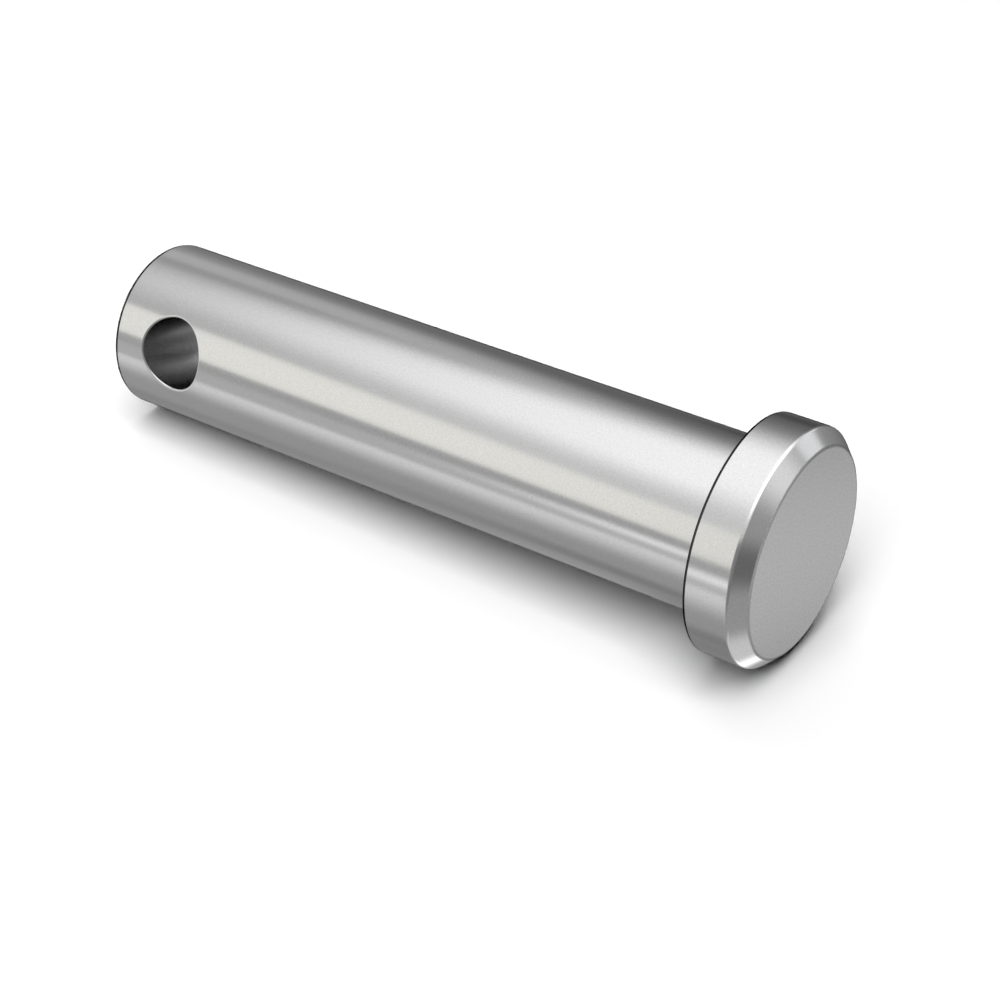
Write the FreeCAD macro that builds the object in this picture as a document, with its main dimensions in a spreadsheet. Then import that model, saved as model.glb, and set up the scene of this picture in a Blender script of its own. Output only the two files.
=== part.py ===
"""Clevis pin: a plain round pin with a flat chamfered head and one cross hole near its free end.

It is one turned and drilled piece, standing on its head. The origin is the centre of the head's flat
face, +Z runs up the shank to the free end, and the cross hole runs along Y. Millimetres.
"""

import FreeCAD, Part
import math
import os
import sys

import Sketcher

# The driving sizes in millimetres: a 3/8 inch pin, 1 1/2 inch long under its head.
SIZES = [
    ("shank_diameter", 9.43, "0.371 inch, a running size for a 3/8 inch clevis"),
    ("shank_length", 38.10, "1 1/2 inch, from the seat under the head to the free end"),
    ("head_diameter", 12.70, "1/2 inch, across the head's rim"),
    ("head_height", 3.28, "from the head's flat face to its seat"),
    ("head_chamfer", 0.81, "leg of the 45 degree chamfer round the head's flat face"),
    ("chamfer_blend", 0.30, "radius that softens both edges of the head's chamfer"),
    ("rim_break", 0.20, "radius on the rim's edge beside the seat"),
    ("seat_fillet", 0.25, "radius in the corner between the seat and the shank"),
    ("end_break", 0.20, "radius on the shank's edge at the free end"),
    ("hole_diameter", 4.00, "5/32 inch cross hole for a cotter pin"),
    ("hole_from_end", 4.09, "from the cross hole's axis to the free end"),
    ("hole_break", 0.10, "radius round both mouths of the cross hole"),
]

PIN = "clevis_pin"
PARTS_FOLDER = "parts"

# How near two measures have to be to count as the same, and how finely a curve is looked at.
SAME_SIZE = 1e-3
LOOKS_PER_EDGE = 9


def make_sheet(doc):
    """The spreadsheet whose named cells drive every feature."""
    sheet = doc.addObject("Spreadsheet::Sheet", "sizes")
    for row, (name, millimetres, meaning) in enumerate(SIZES, start=1):
        sheet.set(f"A{row}", name)
        sheet.set(f"B{row}", str(millimetres))
        sheet.set(f"C{row}", meaning)
        sheet.setAlias(f"B{row}", name)
    doc.recompute()
    return sheet


def new_sketch(body, name, role):
    """An empty sketch on the body's own origin plane of this role."""
    sketch = body.newObject("Sketcher::SketchObject", name)
    plane = next(feature for feature in body.Origin.OriginFeatures if feature.Role == role)
    sketch.AttachmentSupport = [(plane, "")]
    sketch.MapMode = "FlatFace"
    return sketch


def tie(sketch, kind, geometry, name, expression):
    """A named dimension in a sketch, tied to the spreadsheet."""
    index = sketch.addConstraint(Sketcher.Constraint(kind, *geometry))
    sketch.renameConstraint(index, name)
    sketch.setExpression(f"Constraints.{name}", expression)


def half_outline(body, sheet):
    """Half of the turned outline: head face, rim, seat, shank, free end and the axis."""
    head_radius = sheet.head_diameter / 2
    shank_radius = sheet.shank_diameter / 2
    seat_height = sheet.head_height
    top = seat_height + sheet.shank_length
    corners = [
        FreeCAD.Vector(0, 0, 0),
        FreeCAD.Vector(head_radius, 0, 0),
        FreeCAD.Vector(head_radius, seat_height, 0),
        FreeCAD.Vector(shank_radius, seat_height, 0),
        FreeCAD.Vector(shank_radius, top, 0),
        FreeCAD.Vector(0, top, 0),
    ]
    sketch = new_sketch(body, "half_outline", "XZ_Plane")
    following = corners[1:] + corners[:1]
    face, rim, seat, shank, free_end, axis = [
        sketch.addGeometry(Part.LineSegment(start, end), False) for start, end in zip(corners, following)]
    for line, after in zip((face, rim, seat, shank, free_end, axis), (rim, seat, shank, free_end, axis, face)):
        sketch.addConstraint(Sketcher.Constraint("Coincident", line, 2, after, 1))
    for line in (face, seat, free_end):
        sketch.addConstraint(Sketcher.Constraint("Horizontal", line))
    for line in (rim, shank, axis):
        sketch.addConstraint(Sketcher.Constraint("Vertical", line))
    sketch.addConstraint(Sketcher.Constraint("Coincident", face, 1, -1, 1))
    tie(sketch, "DistanceX", (face, 1, face, 2, head_radius), "head_radius", "sizes.head_diameter / 2")
    tie(sketch, "DistanceY", (rim, 1, rim, 2, seat_height), "head_height", "sizes.head_height")
    tie(sketch, "DistanceX", (free_end, 2, free_end, 1, shank_radius), "shank_radius",
        "sizes.shank_diameter / 2")
    tie(sketch, "DistanceY", (shank, 1, shank, 2, sheet.shank_length), "shank_length", "sizes.shank_length")
    return sketch


def turn_blank(body, sheet):
    """The pin before its edges are dressed: the outline revolved about the axis."""
    sketch = half_outline(body, sheet)
    blank = body.newObject("PartDesign::Revolution", "turned_blank")
    blank.Profile = sketch
    blank.ReferenceAxis = (sketch, ["V_Axis"])
    blank.Angle = 360
    return blank


def ring(shape, radius, height):
    """Names of the circular edges round the pin's axis that have this radius and height."""
    found = []
    for number, edge in enumerate(shape.Edges, start=1):
        if not isinstance(edge.Curve, Part.Circle):
            continue
        centre = edge.Curve.Center
        misses = (math.hypot(centre.x, centre.y), centre.z - height, edge.Curve.Radius - radius)
        if all(abs(miss) < SAME_SIZE for miss in misses):
            found.append(f"Edge{number}")
    if not found:
        raise ValueError(f"no ring of radius {radius} at height {height}")
    return found


def hole_mouths(shape, hole_radius, hole_height, shank_radius):
    """Names of the edges where the cross hole's wall meets the round of the shank."""
    found = []
    for number, edge in enumerate(shape.Edges, start=1):
        misses = []
        for point in edge.discretize(LOOKS_PER_EDGE):
            misses.append(math.hypot(point.x, point.z - hole_height) - hole_radius)
            misses.append(math.hypot(point.x, point.y) - shank_radius)
        if all(abs(miss) < SAME_SIZE for miss in misses):
            found.append(f"Edge{number}")
    if not found:
        raise ValueError("the cross hole has no mouth on the shank")
    return found


def dress_edges(doc, body, kind, size_property, name, edges):
    """A chamfer or fillet, named after the size that drives it, on edges of the latest feature."""
    latest = body.Tip
    feature = body.newObject(f"PartDesign::{kind}", f"{name}_edges")
    feature.Base = (latest, edges)
    feature.setExpression(size_property, f"sizes.{name}")
    doc.recompute()
    return feature


def drill(doc, body, sheet, hole_height):
    """The cross hole: a round pocket cut from the middle plane out through both sides."""
    before = body.Shape.Volume
    hole_radius = sheet.hole_diameter / 2
    sketch = new_sketch(body, "hole_outline", "XZ_Plane")
    centre = FreeCAD.Vector(0, hole_height, 0)
    circle = sketch.addGeometry(Part.Circle(centre, FreeCAD.Vector(0, 0, 1), hole_radius), False)
    sketch.addConstraint(Sketcher.Constraint("PointOnObject", circle, 3, -2))
    tie(sketch, "DistanceY", (-1, 1, circle, 3, hole_height), "hole_height",
        "sizes.head_height + sizes.shank_length - sizes.hole_from_end")
    tie(sketch, "Radius", (circle, hole_radius), "hole_radius", "sizes.hole_diameter / 2")
    pocket = body.newObject("PartDesign::Pocket", "cross_hole")
    pocket.Profile = sketch
    pocket.Type = "ThroughAll"
    pocket.Midplane = True
    doc.recompute()
    if not pocket.Shape.Volume < before:
        raise ValueError("the cross hole cut nothing")
    return pocket


def make_pin(doc, sheet):
    """The pin, feature by feature in the order that it is machined."""
    body = doc.addObject("PartDesign::Body", PIN)
    body.Label = PIN
    body.Placement = FreeCAD.Placement()
    head_radius = sheet.head_diameter / 2
    shank_radius = sheet.shank_diameter / 2
    seat_height = sheet.head_height
    top = seat_height + sheet.shank_length

    blank = turn_blank(body, sheet)
    doc.recompute()
    face_edge = ring(blank.Shape, head_radius, 0)
    latest = dress_edges(doc, body, "Chamfer", "Size", "head_chamfer", face_edge)

    chamfer_edges = ring(latest.Shape, head_radius, sheet.head_chamfer)
    chamfer_edges += ring(latest.Shape, head_radius - sheet.head_chamfer, 0)
    latest = dress_edges(doc, body, "Fillet", "Radius", "chamfer_blend", chamfer_edges)

    seat_corner = ring(latest.Shape, shank_radius, seat_height)
    latest = dress_edges(doc, body, "Fillet", "Radius", "seat_fillet", seat_corner)

    rim_edge = ring(latest.Shape, head_radius, seat_height)
    latest = dress_edges(doc, body, "Fillet", "Radius", "rim_break", rim_edge)

    end_edge = ring(latest.Shape, shank_radius, top)
    dress_edges(doc, body, "Fillet", "Radius", "end_break", end_edge)

    hole_height = top - sheet.hole_from_end
    latest = drill(doc, body, sheet, hole_height)
    mouths = hole_mouths(latest.Shape, sheet.hole_diameter / 2, hole_height, shank_radius)
    dress_edges(doc, body, "Fillet", "Radius", "hole_break", mouths)
    return body


def check(doc, bodies):
    """Stops the build where an object failed or a body isn't one sound solid."""
    failed = [item.Label for item in doc.Objects if {"Invalid", "Error"} & set(item.State)]
    if failed:
        sys.exit(f"these objects failed: {failed}")
    for body in bodies:
        shape = body.Shape
        if shape.isNull() or not shape.isValid() or len(shape.Solids) != 1:
            sys.exit(f"{body.Label} isn't one valid solid")


def main():
    """Builds the document and writes each body's shape to a file named after it."""
    doc = FreeCAD.newDocument("pin")
    bodies = [make_pin(doc, make_sheet(doc))]
    check(doc, bodies)
    os.makedirs(PARTS_FOLDER, exist_ok=True)
    for body in bodies:
        body.Shape.exportStep(f"{PARTS_FOLDER}/{body.Label}.step")
        box = body.Shape.optimalBoundingBox()
        print(f"{body.Label}: {body.Shape.Volume:.2f} mm3, "
              f"{box.XLength:.3f} x {box.YLength:.3f} x {box.ZLength:.3f} mm")


main()
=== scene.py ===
"""A clevis pin lying on a white studio floor: its dense mesh, its steel, the lights and the camera.

The pin keeps the frame of its solid model: the centre of the head's flat face is the origin and the axis
is +Z. It lies on its side in the picture, so the floor is a leaning plane that touches the head's rim and
the edge of the free end. Lengths are metres.
"""

import logging
import math
from collections.abc import Mapping
from dataclasses import dataclass, field
from enum import Enum
from typing import Any

import bmesh
import bpy
from mathutils import Matrix, Vector

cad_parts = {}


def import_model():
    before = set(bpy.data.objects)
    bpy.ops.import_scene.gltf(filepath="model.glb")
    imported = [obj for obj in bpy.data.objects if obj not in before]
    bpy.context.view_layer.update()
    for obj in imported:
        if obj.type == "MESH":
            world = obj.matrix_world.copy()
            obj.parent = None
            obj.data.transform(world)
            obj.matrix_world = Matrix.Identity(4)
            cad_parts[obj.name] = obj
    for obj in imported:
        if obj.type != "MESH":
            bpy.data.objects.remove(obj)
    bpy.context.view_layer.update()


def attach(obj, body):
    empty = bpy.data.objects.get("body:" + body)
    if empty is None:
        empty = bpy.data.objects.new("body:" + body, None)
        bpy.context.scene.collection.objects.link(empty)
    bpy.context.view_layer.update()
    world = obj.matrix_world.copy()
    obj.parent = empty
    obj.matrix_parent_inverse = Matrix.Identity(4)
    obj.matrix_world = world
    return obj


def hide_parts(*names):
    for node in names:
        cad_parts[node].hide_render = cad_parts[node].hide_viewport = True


LOG = logging.getLogger("clevis_pin")

MM = 0.001
FULL_TURN = 2 * math.pi
QUARTER_TURN = math.pi / 2
EIGHTH_TURN = math.pi / 4

PIN_NODE = "clevis_pin"
PIN_BODY = "root"

# Directions of the picture's room in the pin's frame: away from the lens across the pin, and up.
ACROSS = Vector((0.2834, 0.9590, 0.0))
OVERHEAD = Vector((0.9590, -0.2834, 0.0))
AXIS = Vector((0.0, 0.0, 1.0))

# All noise has these octaves of finer grain, this share of each in the next, and this mean.
NOISE_OCTAVES = 2.0
NOISE_ROUGHNESS = 0.55
NOISE_MEAN = 0.5


def out_at(bearing: float) -> Vector:
    """The direction straight out from the pin's axis at a bearing.

    Args:
        bearing: Degrees round the axis from straight up, turning away from the lens.

    Returns:
        A unit vector.
    """
    angle = math.radians(bearing)
    return OVERHEAD * math.cos(angle) + ACROSS * math.sin(angle)


def grey(level: float) -> tuple[float, float, float, float]:
    """An opaque grey as RGBA."""
    return (level, level, level, 1.0)


class Skin(Enum):
    """How a surface of the pin was cut. The value is its material's place on the mesh."""

    TURNED = 0
    FACED = 1
    DRILLED = 2
    # Edges painted near black: a painted dark reflection along their outline.
    BROKEN = 3


class Tone(Enum):
    """Colour of a studio panel, before its brightness."""

    NEUTRAL = (1.0, 1.0, 1.0)
    WARM = (1.0, 0.99, 0.94)
    COOL = (0.975, 0.985, 1.0)


# Shaders


class Value:
    """A shader socket that carries one number. Arithmetic on it adds Math nodes."""

    def __init__(self, graph: "Graph", socket: bpy.types.NodeSocket) -> None:
        """Wraps an output socket of a graph, which gets the new nodes."""
        self.graph = graph
        self.socket = socket

    def __add__(self, other: "Value | float") -> "Value":
        """Sum."""
        return self.graph.math("ADD", self, other)

    def __radd__(self, other: float) -> "Value":
        """Sum with a plain number on the left."""
        return self.graph.math("ADD", other, self)

    def __sub__(self, other: "Value | float") -> "Value":
        """Difference."""
        return self.graph.math("SUBTRACT", self, other)

    def __rsub__(self, other: float) -> "Value":
        """Difference with a plain number on the left."""
        return self.graph.math("SUBTRACT", other, self)

    def __mul__(self, other: "Value | float") -> "Value":
        """Product."""
        return self.graph.math("MULTIPLY", self, other)

    def __rmul__(self, other: float) -> "Value":
        """Product with a plain number on the left."""
        return self.graph.math("MULTIPLY", other, self)

    def __pow__(self, power: float) -> "Value":
        """Power."""
        return self.graph.math("POWER", self, power)

    def fade(self, start: float, end: float) -> "Value":
        """A smooth step that is 0 at start and 1 at end.

        Args:
            start: The number where the step is 0.
            end: The number where the step is 1; it may be the smaller one.

        Returns:
            The step, between 0 and 1.
        """
        low, high = min(start, end), max(start, end)
        rising = self.graph.add(
            "ShaderNodeMapRange",
            {"interpolation_type": "SMOOTHSTEP", "clamp": True},
            {"Value": self, "From Min": low, "From Max": high},
        )
        step = Value(self.graph, rising.outputs["Result"])
        return step if start < end else 1.0 - step


class Graph:
    """A node tree that is filled by code."""

    def __init__(self, tree: bpy.types.NodeTree) -> None:
        """Empties the node tree of a material or of the world, and keeps it."""
        self.tree = tree
        tree.nodes.clear()

    def add(
        self,
        kind: str,
        settings: Mapping[str, Any] | None = None,
        sockets: Mapping[str | int, Any] | None = None,
    ) -> bpy.types.Node:
        """Adds a node, sets it up and fills its inputs.

        Args:
            kind: The node's type.
            settings: The node's own properties, set first.
            sockets: For each input by name or place, a value, a Value or a socket to link.

        Returns:
            The new node.
        """
        node = self.tree.nodes.new(kind)
        for name, setting in (settings or {}).items():
            setattr(node, name, setting)
        for key, given in (sockets or {}).items():
            if isinstance(given, Value):
                given = given.socket
            if isinstance(given, bpy.types.NodeSocket):
                self.tree.links.new(given, node.inputs[key])
            else:
                node.inputs[key].default_value = given
        return node

    def math(self, operation: str, *numbers: "Value | float") -> Value:
        """Adds a Math node with its operands in order."""
        node = self.add("ShaderNodeMath", {"operation": operation}, dict(enumerate(numbers)))
        return Value(self, node.outputs[0])

    def along(self, vector: bpy.types.NodeSocket, direction: Vector) -> Value:
        """How far a vector goes in a direction.

        Args:
            vector: The socket that carries the vector.
            direction: A unit vector.

        Returns:
            Their dot product.
        """
        node = self.add(
            "ShaderNodeVectorMath", {"operation": "DOT_PRODUCT"}, {0: vector, 1: tuple(direction)}
        )
        return Value(self, node.outputs["Value"])

    def blend(self, mask: Value, under: Any, over: Any) -> bpy.types.NodeSocket:
        """Lays one colour over another.

        Args:
            mask: Where the upper colour shows, from 0 to 1.
            under: The lower colour, as a socket or RGBA.
            over: The upper colour, as a socket or RGBA.

        Returns:
            The socket of the blended colour.
        """
        node = self.add(
            "ShaderNodeMix",
            {"data_type": "RGBA", "clamp_factor": True},
            {0: mask, 6: under, 7: over},
        )
        return node.outputs[2]

    def noise(self, vector: bpy.types.NodeSocket, scale: float) -> Value:
        """Smooth noise about 0.

        Args:
            vector: Where it is read.
            scale: Grains in each unit of the vector.

        Returns:
            The noise, less than half a unit either way.
        """
        node = self.add(
            "ShaderNodeTexNoise",
            {"noise_dimensions": "3D"},
            {"Vector": vector, "Scale": scale, "Detail": NOISE_OCTAVES, "Roughness": NOISE_ROUGHNESS},
        )
        return Value(self, node.outputs["Fac"]) - NOISE_MEAN


@dataclass(frozen=True)
class MachinedSteel:
    """Bare machined steel: fine tool lines that follow the cut, with a faint satin grain.

    Attributes:
        name: The material's name.
        skin: How the surface was cut, which says how its lines run.
        colour: Reflected colour of the clean metal.
        roughness: Mean roughness.
        roughness_swing: How far the roughness wanders with the clouds, and again with the lines.
        edge_tint: Share of the glancing reflection that the surface keeps.
        line_pitch: Mean distance between tool lines.
        line_run: Length of a tool line before it wanders, in pitches.
        line_depth: Height of the tool lines.
        grain_size: Width of the coarsest grains.
        grain_depth: Height of the satin grain.
        grain_shade: How far the grain lightens and darkens the metal.
        cloud_size: Width of the faint clouds on the metal.
        cloud_shade: How far the clouds lighten and darken the metal.
        mean_shade: The metal's mean brightness, as a share of its colour's.
        painted_sheen_width: Distance from the axis where the painted sheen on a faced surface would go
            dark, or 0.
        painted_sheen_bearing: Where the painted sheen falls off, in degrees round the axis from straight
            up.
        painted_sheen_peak: Brightness along the middle of the painted sheen, a painted highlight.
    """

    name: str
    skin: Skin
    colour: tuple[float, float, float] = (0.63, 0.63, 0.63)
    roughness: float = 0.17
    roughness_swing: float = 0.03
    edge_tint: float = 1.0
    line_pitch: float = 0.06 * MM
    line_run: float = 40.0
    line_depth: float = 0.00004 * MM
    grain_size: float = 0.09 * MM
    grain_depth: float = 0.0001 * MM
    grain_shade: float = 0.22
    cloud_size: float = 2.5 * MM
    cloud_shade: float = 0.03
    mean_shade: float = 0.985
    # Painted sheen: the colour of a faced surface darkens away from a band across its middle.
    painted_sheen_width: float = 0.0
    painted_sheen_bearing: float = 22.0
    painted_sheen_peak: float = 1.055

    def lines_vector(self, graph: Graph, place: bpy.types.NodeSocket) -> bpy.types.NodeSocket:
        """Coordinates in which the tool lines are the layers of one axis.

        Args:
            graph: The material's graph.
            place: The socket of the place on the pin.

        Returns:
            The socket of a vector whose last part counts the lines.
        """
        east = graph.along(place, Vector((1, 0, 0)))
        north = graph.along(place, Vector((0, 1, 0)))
        if self.skin is Skin.FACED:
            across_lines = (east * east + north * north) ** 0.5
        elif self.skin is Skin.DRILLED:
            across_lines = north
        else:
            across_lines = graph.along(place, AXIS)
        lines = 1 / self.line_pitch
        drift = lines / self.line_run
        combined = graph.add(
            "ShaderNodeCombineXYZ",
            sockets={"X": east * drift, "Y": north * drift, "Z": across_lines * lines},
        )
        return combined.outputs["Vector"]

    def make(self) -> bpy.types.Material:
        """Builds the material.

        Returns:
            The new material.
        """
        material = bpy.data.materials.new(self.name)
        material.use_nodes = True
        graph = Graph(material.node_tree)
        place = graph.add("ShaderNodeTexCoord").outputs["Object"]
        lines = graph.noise(self.lines_vector(graph, place), 1.0)
        grain = graph.noise(place, 1 / self.grain_size)
        clouds = graph.noise(place, 1 / self.cloud_size)
        height = lines * self.line_depth + grain * self.grain_depth
        bump = graph.add("ShaderNodeBump", {}, {"Strength": 1.0, "Distance": 1.0, "Height": height})
        shade = self.mean_shade + clouds * self.cloud_shade + grain * self.grain_shade
        # Painted sheen: darkens the colour across the faced surface, standing in for the highlight of its
        # concentric tool lines.
        if self.painted_sheen_width:
            across = graph.along(place, out_at(self.painted_sheen_bearing)) * (1 / self.painted_sheen_width)
            shade = shade * (self.painted_sheen_peak - across * across)
        colour = graph.add(
            "ShaderNodeVectorMath", {"operation": "SCALE"}, {0: self.colour, "Scale": shade}
        )
        shader = graph.add(
            "ShaderNodeBsdfPrincipled",
            {},
            {
                "Base Color": colour.outputs["Vector"],
                "Metallic": 1.0,
                "Roughness": self.roughness + (clouds + lines) * self.roughness_swing,
                "Specular Tint": grey(self.edge_tint),
                "Normal": bump.outputs["Normal"],
            },
        )
        graph.add("ShaderNodeOutputMaterial", {}, {"Surface": shader.outputs["BSDF"]})
        return material


FINISHES: tuple[MachinedSteel, ...] = (
    MachinedSteel("turned_steel", Skin.TURNED),
    MachinedSteel(
        "faced_steel",
        Skin.FACED,
        roughness=0.2,
        edge_tint=0.65,
        grain_size=0.125 * MM,
        grain_shade=0.42,
        # Painted sheen on the faced surfaces, a painted highlight across their middle.
        painted_sheen_width=12.4 * MM,
    ),
    # The drilled wall is rougher and darker than the turned steel. Its darker colour is partly the duller
    # drilled steel and partly painted shade inside the hole.
    MachinedSteel("drilled_steel", Skin.DRILLED, (0.52, 0.52, 0.52), roughness=0.26, edge_tint=0.0),
    # Painted dark reflection: the rounded edge breaks and a land beside the free end's are painted near
    # black for their dark outline.
    MachinedSteel("painted_dark_edge_steel", Skin.BROKEN, (0.06, 0.06, 0.06), roughness=0.2, edge_tint=0.0),
)


# Meshes


@dataclass
class MeshDraft:
    """The corners, normals and faces of a piece while it is being made."""

    places: list[Vector] = field(default_factory=list)
    normals: list[Vector] = field(default_factory=list)
    faces: list[tuple[int, ...]] = field(default_factory=list)
    skins: list[Skin] = field(default_factory=list)

    def corner(self, place: Vector, normal: Vector) -> int:
        """Adds a corner.

        Args:
            place: Where it is.
            normal: The surface's normal there, of any length.

        Returns:
            The corner's number.
        """
        self.places.append(place)
        self.normals.append(normal.normalized())
        return len(self.places) - 1

    def face(self, corners: tuple[int, ...], skin: Skin) -> None:
        """Adds a face with its skin."""
        self.faces.append(corners)
        self.skins.append(skin)

    def band(self, first: list[int], second: list[int], skin: Skin) -> None:
        """Joins two closed loops of as many corners with quads.

        Args:
            first: One loop.
            second: The other loop, in the same sense.
            skin: The skin of the band.
        """
        following = list(range(1, len(first))) + [0]
        for here, after in enumerate(following):
            self.face((first[here], first[after], second[after], second[here]), skin)

    def make(self, name: str, materials: Mapping[Skin, bpy.types.Material]) -> bpy.types.Object:
        """Turns the draft into an object.

        Args:
            name: The object's name.
            materials: The material of each skin.

        Returns:
            The new object, linked to the scene.
        """
        mesh = bpy.data.meshes.new(name)
        mesh.from_pydata(self.places, [], self.faces)
        for skin in Skin:
            mesh.materials.append(materials[skin])
        mesh.polygons.foreach_set("material_index", [skin.value for skin in self.skins])
        shell = bmesh.new()
        shell.from_mesh(mesh)
        bmesh.ops.recalc_face_normals(shell, faces=shell.faces)
        if shell.calc_volume(signed=True) < 0:
            bmesh.ops.reverse_faces(shell, faces=shell.faces)
        open_edges = sum(not edge.is_manifold for edge in shell.edges)
        if open_edges:
            raise ValueError(f"{name} has {open_edges} open edges")
        shell.to_mesh(mesh)
        shell.free()
        mesh.shade_smooth()
        mesh.normals_split_custom_set_from_vertices(self.normals)
        piece = bpy.data.objects.new(name, mesh)
        bpy.context.scene.collection.objects.link(piece)
        return piece


@dataclass(frozen=True)
class Station:
    """A point of the turned outline.

    Attributes:
        radius: Distance from the axis.
        height: Distance along the axis.
        facing: Angle of the surface's normal above the plane of the head, in radians.
        skin: The skin of the band that starts here.
    """

    radius: float
    height: float
    facing: float
    skin: Skin


@dataclass
class ClevisPin:
    """The pin: a chamfered head, a plain shank and one cross hole near the free end.

    The first sizes are the solid model's own. The others say how the skin is cut up.

    Attributes:
        painted_dark_land: Width of the land on the shank beside the free end's rounded edge, painted near
            black with it.
        columns: Columns of faces round the pin.
        window: Half the side of the square window round each mouth of the hole, in columns.
        window_rings: Rings of faces that fill a window up to the hole.
        bend_steps: Bands of faces on a rounded edge or corner.
        face_rings: Rings of faces on the head's face, and on the free end's.
        shank_rows: Rows of faces on the shank below the windows.
        bore_rows: Rows of faces on the hole's wall.
        sides: Which way each mouth of the hole faces along Y.
    """

    shank_radius: float = 4.715 * MM
    shank_length: float = 38.10 * MM
    head_radius: float = 6.35 * MM
    head_height: float = 3.28 * MM
    head_chamfer: float = 0.81 * MM
    chamfer_blend: float = 0.30 * MM
    rim_break: float = 0.20 * MM
    seat_fillet: float = 0.25 * MM
    end_break: float = 0.20 * MM
    hole_radius: float = 2.00 * MM
    hole_from_end: float = 4.09 * MM
    hole_break: float = 0.10 * MM
    painted_dark_land: float = 0.045 * MM
    columns: int = 256
    window: int = 25
    window_rings: int = 9
    bend_steps: int = 6
    face_rings: int = 8
    shank_rows: int = 14
    bore_rows: int = 20
    sides: tuple[int, int] = (1, -1)

    @property
    def top(self) -> float:
        """Height of the free end."""
        return self.head_height + self.shank_length

    @property
    def hole_height(self) -> float:
        """Height of the cross hole's axis."""
        return self.top - self.hole_from_end

    @property
    def pitch(self) -> float:
        """Distance between columns round the shank, and between rows beside the hole."""
        return self.shank_radius * FULL_TURN / self.columns

    @property
    def window_start(self) -> float:
        """Height of the windows' lower edge."""
        return self.hole_height - self.window * self.pitch

    def mouth_column(self, side: int) -> int:
        """Column through the middle of the mouth on one side."""
        return self.columns // 4 if side > 0 else 3 * self.columns // 4

    def bend(
        self,
        centre: tuple[float, float],
        radius: float,
        facings: tuple[float, float],
        skins: tuple[Skin, Skin],
        hollow: bool = False,
    ) -> list[Station]:
        """A rounded edge or corner of the outline.

        Args:
            centre: Radius and height of the arc's centre.
            radius: The arc's radius.
            facings: The surface's facing where the arc starts and ends, in radians.
            skins: The skin of the arc and that of what follows it.
            hollow: True for the fillet of an inside corner.

        Returns:
            The arc's stations in order.
        """
        out = -radius if hollow else radius
        stations = []
        for step in range(self.bend_steps + 1):
            facing = facings[0] + (facings[1] - facings[0]) * step / self.bend_steps
            place = (centre[0] + out * math.cos(facing), centre[1] + out * math.sin(facing))
            skin = skins[1] if step == self.bend_steps else skins[0]
            stations.append(Station(place[0], place[1], facing, skin))
        return stations

    def outline(self) -> list[Station]:
        """The turned outline from the middle of the head's face to the middle of the free end.

        Returns:
            The stations in order.
        """
        down, level, up = -QUARTER_TURN, 0.0, QUARTER_TURN
        turned, faced, painted_dark = Skin.TURNED, Skin.FACED, Skin.BROKEN
        cut_back = self.chamfer_blend * math.tan(EIGHTH_TURN / 2)
        face_edge = self.head_radius - self.head_chamfer - cut_back
        stations = [
            Station(face_edge * ring / self.face_rings, 0.0, down, faced) for ring in range(self.face_rings)
        ]
        stations += self.bend(
            (face_edge, self.chamfer_blend), self.chamfer_blend, (down, -EIGHTH_TURN), (faced, turned)
        )
        stations += self.bend(
            (self.head_radius - self.chamfer_blend, self.head_chamfer + cut_back),
            self.chamfer_blend,
            (-EIGHTH_TURN, level),
            (turned, turned),
        )
        # The rim's rounded edge is painted near black, a painted dark reflection along its outline.
        stations += self.bend(
            (self.head_radius - self.rim_break, self.head_height - self.rim_break),
            self.rim_break,
            (level, up),
            (painted_dark, faced),
        )
        stations += self.bend(
            (self.shank_radius + self.seat_fillet, self.head_height + self.seat_fillet),
            self.seat_fillet,
            (up, level),
            (turned, turned),
            hollow=True,
        )
        shank_start = self.head_height + self.seat_fillet
        row_height = (self.window_start - shank_start) / self.shank_rows
        heights = [shank_start + row * row_height for row in range(1, self.shank_rows)]
        heights += [self.window_start + row * self.pitch for row in range(2 * self.window + 1)]
        stations += [Station(self.shank_radius, height, level, turned) for height in heights]
        end_edge = self.shank_radius - self.end_break
        end_start = self.top - self.end_break
        # The land and the free end's rounded edge are painted near black, a painted dark reflection along
        # their outline.
        stations.append(Station(self.shank_radius, end_start - self.painted_dark_land, level, painted_dark))
        stations += self.bend((end_edge, end_start), self.end_break, (level, up), (painted_dark, faced))
        stations += [
            Station(end_edge * (1 - ring / self.face_rings), self.top, up, faced)
            for ring in range(1, self.face_rings + 1)
        ]
        return stations

    def in_window(self, row: int, column: int, first_row: int) -> bool:
        """Tells whether a corner of the grid lies inside one of the hole's two windows.

        Args:
            row: The corner's row.
            column: The corner's column.
            first_row: The row at the windows' lower edge.

        Returns:
            True if the corner is left out of the turned skin.
        """
        if not 0 < row - first_row < 2 * self.window:
            return False
        return any(abs(column - self.mouth_column(side)) < self.window for side in self.sides)

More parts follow.
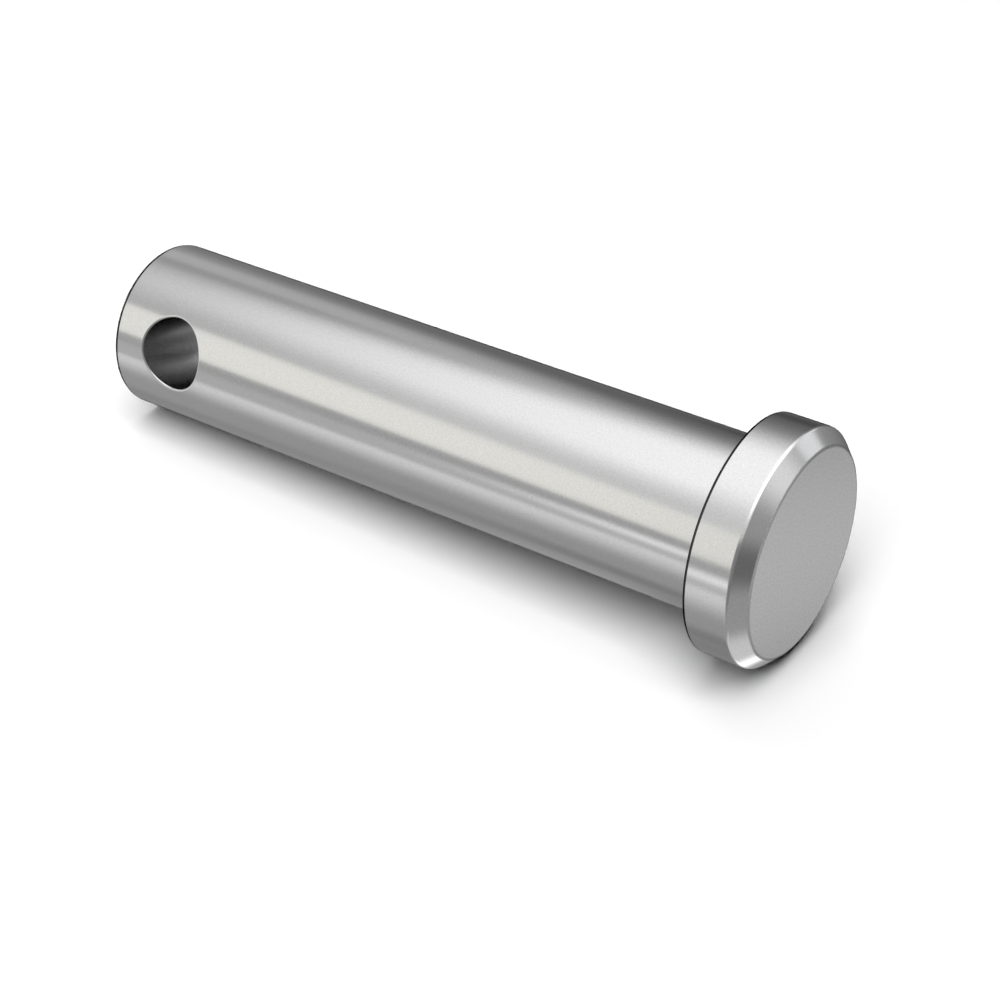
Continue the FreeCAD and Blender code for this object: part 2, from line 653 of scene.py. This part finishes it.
    def turn(self, draft: MeshDraft) -> tuple[dict[tuple[int, int], int], int]:
        """Turns the outline, leaving a square window open round each mouth of the hole.

        Args:
            draft: The draft that the turned skin is added to.

        Returns:
            The corner at each row and column, and the row at the windows' lower edge.
        """
        stations = self.outline()
        first_row = [station.height for station in stations].index(self.window_start)
        grid: dict[tuple[int, int], int] = {}
        for row, station in enumerate(stations):
            if row in (0, len(stations) - 1):
                centre = draft.corner(
                    Vector((0, 0, station.height)), Vector((0, 0, math.sin(station.facing)))
                )
                grid.update({(row, column): centre for column in range(self.columns)})
                continue
            for column in range(self.columns):
                if self.in_window(row, column, first_row):
                    continue
                angle = FULL_TURN * column / self.columns
                outward = Vector((math.cos(angle), math.sin(angle), 0))
                place = outward * station.radius + AXIS * station.height
                normal = outward * math.cos(station.facing) + AXIS * math.sin(station.facing)
                grid[row, column] = draft.corner(place, normal)
        for row, station in enumerate(stations[:-1]):
            for column in range(self.columns):
                after = (column + 1) % self.columns
                around = ((row, column), (row, after), (row + 1, after), (row + 1, column))
                if all(key in grid for key in around):
                    corners = tuple(dict.fromkeys(grid[key] for key in around))
                    draft.face(corners, station.skin)
        return grid, first_row

    def window_border(self) -> list[tuple[int, int]]:
        """Walks once round a window's border.

        Returns:
            For each corner of the border, its steps across and along from the hole's axis.
        """
        edge = [(step, -self.window) for step in range(-self.window, self.window)]
        border = []
        for _ in range(4):
            border += edge
            edge = [(-along, across) for across, along in edge]
        return border

    def mouth(
        self, draft: MeshDraft, grid: dict[tuple[int, int], int], first_row: int, side: int
    ) -> list[int]:
        """Fills one window up to the cross hole and rounds the hole's mouth.

        Args:
            draft: The draft that the faces are added to.
            grid: The corner at each row and column of the turned skin.
            first_row: The row at the window's lower edge.
            side: 1 for the mouth that faces +Y, -1 for the other.

        Returns:
            The loop of corners where the rounded mouth meets the hole's wall.
        """
        border = self.window_border()
        middle = self.mouth_column(side)
        middle_angle = FULL_TURN * middle / self.columns
        # The mouth is rounded as by a ball of radius hole_break that rolls round inside the edge.
        ball_ring = self.hole_radius + self.hole_break
        ball_reach = self.shank_radius - self.hole_break
        loop = [grid[first_row + self.window + along, middle - side * across] for across, along in border]
        for ring in range(1, self.window_rings + 1):
            share = ring / self.window_rings
            inner = []
            for across, along in border:
                angle = math.atan2(along, across)
                mouth_turn = math.asin(ball_ring * math.cos(angle) / ball_reach)
                border_turn = across * self.pitch / self.shank_radius
                turn = middle_angle - side * (border_turn + (mouth_turn - border_turn) * share)
                rise = along * self.pitch * (1 - share) + ball_ring * math.sin(angle) * share
                outward = Vector((math.cos(turn), math.sin(turn), 0))
                place = outward * self.shank_radius + AXIS * (self.hole_height + rise)
                inner.append(draft.corner(place, outward))
            draft.band(loop, inner, Skin.TURNED)
            loop = inner
        for step in range(1, self.bend_steps + 1):
            inner = []
            for across, along in border:
                angle = math.atan2(along, across)
                sideways = ball_ring * math.cos(angle)
                depth = side * math.sqrt(ball_reach**2 - sideways**2)
                ball = Vector((sideways, depth, self.hole_height + ball_ring * math.sin(angle)))
                from_skin = Vector((ball.x, ball.y, 0)).normalized()
                to_wall = Vector((-math.cos(angle), 0, -math.sin(angle)))
                normal = from_skin.slerp(to_wall, step / self.bend_steps)
                inner.append(draft.corner(ball + normal * self.hole_break, normal))
            draft.band(loop, inner, Skin.TURNED)
            loop = inner
        return loop

    def bore(self, draft: MeshDraft, near: list[int], far: list[int]) -> None:
        """Adds the wall of the cross hole between its two mouths.

        Args:
            draft: The draft that the wall is added to.
            near: The loop of corners at one mouth.
            far: The loop at the other mouth, in the same sense.
        """
        loop = near
        for row in range(1, self.bore_rows):
            share = row / self.bore_rows
            inner = [
                draft.corner(draft.places[start].lerp(draft.places[end], share), draft.normals[start])
                for start, end in zip(near, far)
            ]
            draft.band(loop, inner, Skin.DRILLED)
            loop = inner
        draft.band(loop, far, Skin.DRILLED)

    def make(self) -> bpy.types.Object:
        """Builds the pin and dresses it.

        Returns:
            The pin's object.
        """
        draft = MeshDraft()
        grid, first_row = self.turn(draft)
        mouths = [self.mouth(draft, grid, first_row, side) for side in self.sides]
        self.bore(draft, *mouths)
        pin = draft.make("pin_body", {finish.skin: finish.make() for finish in FINISHES})
        # The light that the metal throws on the floor would wash out the shadow.
        pin.visible_diffuse = False
        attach(pin, PIN_BODY)
        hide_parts(PIN_NODE)
        return pin


# Studio


@dataclass(frozen=True)
class Strip:
    """A soft panel that runs along the pin, as the metal sees it.

    Attributes:
        name: What the panel is.
        brightness: Its brightness, where 1 is a white sheet.
        bearing: Its two long edges, in degrees round the pin's axis from straight up. None is no edge.
        soft: Width of the fade at each long edge, in degrees.
        reach: Its two ends, as the cosine of the angle to the pin's axis. None is no end.
        reach_soft: Width of the fade at each end.
        lean: How far each long edge turns with the reach, in degrees.
        tone: Its colour.
    """

    name: str
    brightness: float
    bearing: tuple[float | None, float | None]
    soft: tuple[float, float]
    reach: tuple[float | None, float | None] = (None, None)
    reach_soft: tuple[float, float] = (0.2, 0.2)
    lean: tuple[float, float] = (0.0, 0.0)
    tone: Tone = Tone.NEUTRAL

    def mask(self, studio: "StudioView") -> Value:
        """Tells where the panel shows.

        Args:
            studio: The line of sight.

        Returns:
            The panel's cover, from 0 to 1.
        """
        fades = []
        for edge, soft, lean, sense in zip(self.bearing, self.soft, self.lean, (1, -1)):
            if edge is not None:
                bearing = studio.bearing - studio.twist * lean if lean else studio.bearing
                fades.append(bearing.fade(edge - sense * soft / 2, edge + sense * soft / 2))
        for end, soft, sense in zip(self.reach, self.reach_soft, (1, -1)):
            if end is not None:
                fades.append(studio.reach.fade(end - sense * soft / 2, end + sense * soft / 2))
        return math.prod(fades)


@dataclass(frozen=True)
class Disc:
    """A round soft light or flag, as the metal sees it.

    Attributes:
        name: What it is.
        brightness: Its brightness, where 1 is a white sheet.
        bearing: Its middle, in degrees round the pin's axis from straight up.
        reach: Its middle, as the cosine of the angle to the pin's axis.
        radius: Its radius in degrees.
        soft: Width of the fade at its edge, in degrees.
        tone: Its colour.
    """

    name: str
    brightness: float
    bearing: float
    reach: float
    radius: float
    soft: float
    tone: Tone = Tone.NEUTRAL

    def mask(self, studio: "StudioView") -> Value:
        """Tells where the light or flag shows.

        Args:
            studio: The line of sight.

        Returns:
            Its cover, from 0 to 1.
        """
        middle = out_at(self.bearing) * math.sqrt(1 - self.reach**2) + AXIS * self.reach
        graph = studio.graph
        apart = graph.math("ARCCOSINE", graph.along(studio.direction, middle)) * math.degrees(1)
        return apart.fade(self.radius + self.soft / 2, self.radius - self.soft / 2)


@dataclass(frozen=True)
class StudioView:
    """A line of sight from the metal into the studio.

    Attributes:
        graph: The world's graph.
        direction: The socket of its direction.
        bearing: Its bearing in degrees round the pin's axis from straight up.
        reach: The cosine of its angle to the pin's axis.
        twist: How far the leaning edges have turned there, as a share of their lean.
    """

    graph: Graph
    direction: bpy.types.NodeSocket
    bearing: Value
    reach: Value
    twist: Value


@dataclass(frozen=True)
class SoftBox:
    """A level soft box over the floor. The metal mirrors the panels instead.

    Attributes:
        name: What the box is.
        power: Its power in watts.
        middle: Its middle, away from the lens and toward the free end, from over the pin's middle.
        size: Its size in the same two directions.
        height: Its height over the floor.
    """

    name: str
    power: float
    middle: tuple[float, float]
    size: tuple[float, float]
    height: float = 1.2

    def hang(self, floor: Matrix) -> bpy.types.Object:
        """Hangs the box.

        Args:
            floor: The floor's own frame, with x toward the head and y away from the lens.

        Returns:
            The lamp.
        """
        lamp = bpy.data.lights.new(self.name, "AREA")
        lamp.energy = self.power
        lamp.shape = "RECTANGLE"
        lamp.size_y, lamp.size = self.size
        # The box lights only the matt floor, where sampling it directly is enough.
        lamp.cycles.use_multiple_importance_sampling = False
        holder = bpy.data.objects.new(self.name, lamp)
        away, along = self.middle
        holder.matrix_world = floor @ Matrix.Translation((-along, away, self.height))
        holder.visible_camera = False
        holder.visible_glossy = False
        bpy.context.scene.collection.objects.link(holder)
        return holder


@dataclass
class Studio:
    """The room round the pin: panels that the metal mirrors, floor, backdrop and soft boxes.

    Attributes:
        room_brightness: Brightness of the room behind the panels.
        middle_bearing: Bearing opposite the seam, where bearings start again.
        twist_span: The reaches between which the leaning edges turn.
        twist_middle: The reach where a leaning edge is at its own bearing.
        lean_of_floor: How far the floor rises toward the free end for each unit along the pin.
        touch_height: Height on the head's rim where the floor touches it.
        touch_radius: The rim's radius.
        floor_half: Half the floor's side.
        backdrop_radius: The backdrop's radius.
        pin_middle: Distance from the touching point to the pin's middle, along the floor.
        boxes: The soft boxes that light the floor.
    """

    room_brightness: float = 0.43
    middle_bearing: float = -52.0
    twist_span: tuple[float, float] = (0.42, 0.62)
    twist_middle: float = 0.5
    lean_of_floor: float = (ClevisPin.head_radius - ClevisPin.shank_radius) / ClevisPin.shank_length
    touch_height: float = 3.2 * MM
    touch_radius: float = ClevisPin.head_radius
    floor_half: float = 600 * MM
    backdrop_radius: float = 900 * MM
    pin_middle: float = 18 * MM
    boxes: tuple[SoftBox, ...] = (
        SoftBox("overhead_box", power=40.8, middle=(-1.32, -0.16), size=(2.66, 0.86)),
        SoftBox("end_box", power=9.6, middle=(0.54, 1.24), size=(1.1, 2.4)),
    )

    def panels(self) -> list[Strip | Disc]:
        """Lists the panels from the furthest to the nearest. A later one covers an earlier one.

        Returns:
            The panels in that order.
        """
        wall = {"bearing": (-88, -53.7), "soft": (3, 4), "lean": (9, 58), "tone": Tone.WARM}
        return [
            Strip("low_end", 0.32, (-225, -178), (10, 16), (0.5, None), (0.3, 0.2)),
            Strip("low_shade", 0.28, (-182, -165), (10, 12), (0.1, 0.49)),
            Strip("low_fold", 0.27, (-219, -182), (8, 12), (0.27, 0.40), (0.08, 0.05)),
            Strip("far_side", 0.34, (84, None), (16, 16), (-0.72, None), (0.15, 0.2)),
            Strip("near_shade", 0.28, (-128, -54), (14, 8), (-0.8, 0.05), (0.2, 0.4)),
            Strip("overhead_wing", 0.84, (-62, 24), (10, 34), (-0.75, 0.6), (0.3, 0.3)),
            Strip("far_shoulder", 0.58, (40, 66), (10, 12), (0.47, None), (0.15, 0.2)),
            Strip("overhead_apron", 0.95, (38, 60), (10, 8), (-0.5, 0.12)),
            Strip("far_curtain", 0.155, (66, None), (40, 40), (0.02, 0.62), (0.5, 0.4), lean=(75, 0)),
            Strip("overhead", 1.41, (-29, 28), (36, 42), (-0.62, 0.57), (0.1, 0.32), lean=(48, -125)),
            Strip("overhead_core", 1.9, (-36, 40), (30, 20), (-0.6, 0.24)),
            Strip(
                "low_key", 1.0, (-132.5, -116.4), (34, 7), (-0.02, None), (0.5, 0.2), lean=(-20, -24)
            ),
            Strip("low_gap", 0.59, (-116, -100), (6, 8), (0.0, None), (0.5, 0.2)),
            Strip("low_line", 1.32, (-108, -100.5), (5, 5), (0.1, 0.46), (0.3, 0.1)),
            Strip("wall_gap", 0.46, (-98, -89), (6, 3), (0.0, None), (0.5, 0.2)),
            Strip("wall_foot", 1.0, reach=(0.24, None), reach_soft=(0.16, 0.2), **wall),
            Strip("wall_panel", 1.17, reach=(0.38, None), reach_soft=(0.1, 0.2), **wall),
            Strip("end_fold", 0.4, (30, 42.5), (8, 8), (0.555, None), (0.08, 0.2)),
            Strip("far_fold", 0.08, (83, 102), (8, 8), (0.22, 0.41), (0.16, 0.06)),
            Strip(
                "cool_window", 1.1, (57, 79), (6, 6), (-0.62, -0.08), (0.1, 0.12), tone=Tone.COOL
            ),
            Strip("dark_doorway", 0.02, (108.5, None), (12, 12), (0.28, None), lean=(-12, 0)),
            Strip("dark_doorway_end", 0.02, (None, -218), (18, 18), (0.28, None), lean=(0, 26)),
            Disc("free_end_sheet", 0.9, 0, 1.0, 46.8, 6),
            Disc("front_shade", 0.18, -100, -0.88, 14, 16),
            Disc("front_window", 1.06, 30, -0.79, 17.4, 28),
            Disc("face_card", 0.74, 127, -0.37, 14, 14),
            Disc("dark_doorway_foot", 0.02, 129, 0.05, 12, 6),
            Strip("low_card", 0.83, (-196, -159), (10, 12), (-0.51, 0.0), (0.14, 0.2)),
            Disc("low_spot", 2.0, -201, -0.04, 7.5, 12),
        ]

    def light_the_metal(self) -> bpy.types.World:
        """Builds the world that the metal mirrors. It doesn't light the floor, which has soft boxes.

        Returns:
            The new world.
        """
        world = bpy.data.worlds.new("studio")
        world.use_nodes = True
        graph = Graph(world.node_tree)
        direction = graph.add("ShaderNodeTexCoord").outputs["Generated"]
        ahead = graph.along(direction, out_at(self.middle_bearing))
        beside = graph.along(direction, out_at(self.middle_bearing + math.degrees(QUARTER_TURN)))
        bearing = graph.math("ARCTAN2", beside, ahead) * math.degrees(1) + self.middle_bearing
        reach = graph.along(direction, AXIS)
        first, last = self.twist_span
        twist = graph.math("MINIMUM", graph.math("MAXIMUM", reach, first), last) - self.twist_middle
        view = StudioView(graph, direction, bearing, reach, twist)
        colour: Any = grey(self.room_brightness)
        for panel in self.panels():
            lit = tuple(part * panel.brightness for part in panel.tone.value) + (1.0,)
            colour = graph.blend(panel.mask(view), colour, lit)
        background = graph.add("ShaderNodeBackground", {}, {"Color": colour, "Strength": 1.0})
        graph.add("ShaderNodeOutputWorld", {}, {"Surface": background.outputs["Background"]})
        world.cycles_visibility.diffuse = False
        bpy.context.scene.world = world
        return world

    def floor_frame(self) -> Matrix:
        """The floor's own frame: its origin under the head, z up, y away from the lens across the pin.

        Returns:
            The frame as a matrix.
        """
        slope = math.atan(self.lean_of_floor)
        up = OVERHEAD * math.cos(slope) - AXIS * math.sin(slope)
        frame = Matrix((ACROSS.cross(up), ACROSS, up)).transposed().to_4x4()
        frame.translation = AXIS * self.touch_height - OVERHEAD * self.touch_radius
        return frame

    def white_sheet(self) -> bpy.types.Material:
        """Makes a matt white sheet that is clear from behind, so it never hides the pin.

        Returns:
            The sheet's material.
        """
        material = bpy.data.materials.new("white_sheet")
        material.use_nodes = True
        graph = Graph(material.node_tree)
        sheet = graph.add("ShaderNodeBsdfDiffuse", {}, {"Color": grey(1.0)})
        clear = graph.add("ShaderNodeBsdfTransparent")
        behind = graph.add("ShaderNodeNewGeometry").outputs["Backfacing"]
        mixed = graph.add(
            "ShaderNodeMixShader", {}, {0: behind, 1: sheet.outputs["BSDF"], 2: clear.outputs["BSDF"]}
        )
        graph.add("ShaderNodeOutputMaterial", {}, {"Surface": mixed.outputs["Shader"]})
        return material

    def white_glow(self) -> bpy.types.Material:
        """Makes the even white of the backdrop.

        Returns:
            The backdrop's material.
        """
        material = bpy.data.materials.new("white_backdrop")
        material.use_nodes = True
        graph = Graph(material.node_tree)
        glow = graph.add("ShaderNodeEmission", {}, {"Color": grey(1.0), "Strength": 1.0})
        graph.add("ShaderNodeOutputMaterial", {}, {"Surface": glow.outputs["Emission"]})
        return material

    def stand(self, name: str, shape: bmesh.types.BMesh, material: bpy.types.Material) -> bpy.types.Object:
        """Places a stage piece that only the camera sees and that throws no shadow.

        Args:
            name: The piece's name.
            shape: Its mesh, which is freed.
            material: Its material.

        Returns:
            The new object.
        """
        mesh = bpy.data.meshes.new(name)
        shape.to_mesh(mesh)
        shape.free()
        mesh.materials.append(material)
        piece = bpy.data.objects.new(name, mesh)
        piece.visible_glossy = False
        piece.visible_transmission = False
        piece.visible_diffuse = False
        piece.visible_shadow = False
        bpy.context.scene.collection.objects.link(piece)
        return piece

    def lay_floor(self) -> bpy.types.Object:
        """Lays the floor under the resting pin.

        Returns:
            The floor.
        """
        shape = bmesh.new()
        bmesh.ops.create_grid(shape, x_segments=1, y_segments=1, size=self.floor_half)
        floor = self.stand("floor", shape, self.white_sheet())
        floor.matrix_world = self.floor_frame()
        return floor

    def hang_backdrop(self) -> bpy.types.Object:
        """Hangs a white shell round the whole stage.

        Returns:
            The backdrop.
        """
        shape = bmesh.new()
        bmesh.ops.create_icosphere(shape, subdivisions=3, radius=self.backdrop_radius)
        return self.stand("backdrop", shape, self.white_glow())

    def hang_boxes(self) -> list[bpy.types.Object]:
        """Hangs the soft boxes whose light the floor shows."""
        over_middle = self.floor_frame() @ Matrix.Translation((-self.pin_middle, 0, 0))
        return [box.hang(over_middle) for box in self.boxes]


@dataclass(frozen=True)
class Viewpoint:
    """The camera of the picture.

    Attributes:
        place: Where it stands.
        right: The direction that runs to the right in its picture.
        down: The direction that runs down in its picture.
        lens: Its focal length in millimetres.
        sensor: Its sensor's width in millimetres.
        nearest: The nearest distance that it shows.
        furthest: The furthest distance that it shows.
    """

    place: tuple[float, float, float] = (36.337 * MM, -97.53 * MM, -39.268 * MM)
    right: tuple[float, float, float] = (0.1610, 0.5449, -0.8229)
    down: tuple[float, float, float] = (-0.9304, -0.1945, -0.3108)
    lens: float = 80.73
    sensor: float = 36.0
    nearest: float = 5 * MM
    furthest: float = 5.0

    def make(self) -> bpy.types.Object:
        """Places the camera and makes it the scene's own.

        Returns:
            The camera.
        """
        lens = bpy.data.cameras.new("camera")
        lens.lens, lens.sensor_width = self.lens, self.sensor
        lens.clip_start, lens.clip_end = self.nearest, self.furthest
        camera = bpy.data.objects.new("camera", lens)
        right = Vector(self.right).normalized()
        back = right.cross(-Vector(self.down)).normalized()
        up = back.cross(right)
        pose = Matrix((right, up, back)).transposed().to_4x4()
        pose.translation = Vector(self.place)
        camera.matrix_world = pose
        bpy.context.scene.collection.objects.link(camera)
        bpy.context.scene.camera = camera
        return camera


def main() -> None:
    """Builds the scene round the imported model."""
    logging.basicConfig(level=logging.INFO, format="%(name)s: %(message)s")
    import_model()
    Viewpoint().make()
    pin = ClevisPin().make()
    LOG.info("%s: %d corners, %d faces", pin.name, len(pin.data.vertices), len(pin.data.polygons))
    studio = Studio()
    studio.light_the_metal()
    for piece in (studio.lay_floor(), studio.hang_backdrop(), *studio.hang_boxes()):
        LOG.info("%s is in place", piece.name)
    bpy.context.scene.view_settings.view_transform = "Standard"


if __name__ == "__main__":
    main()
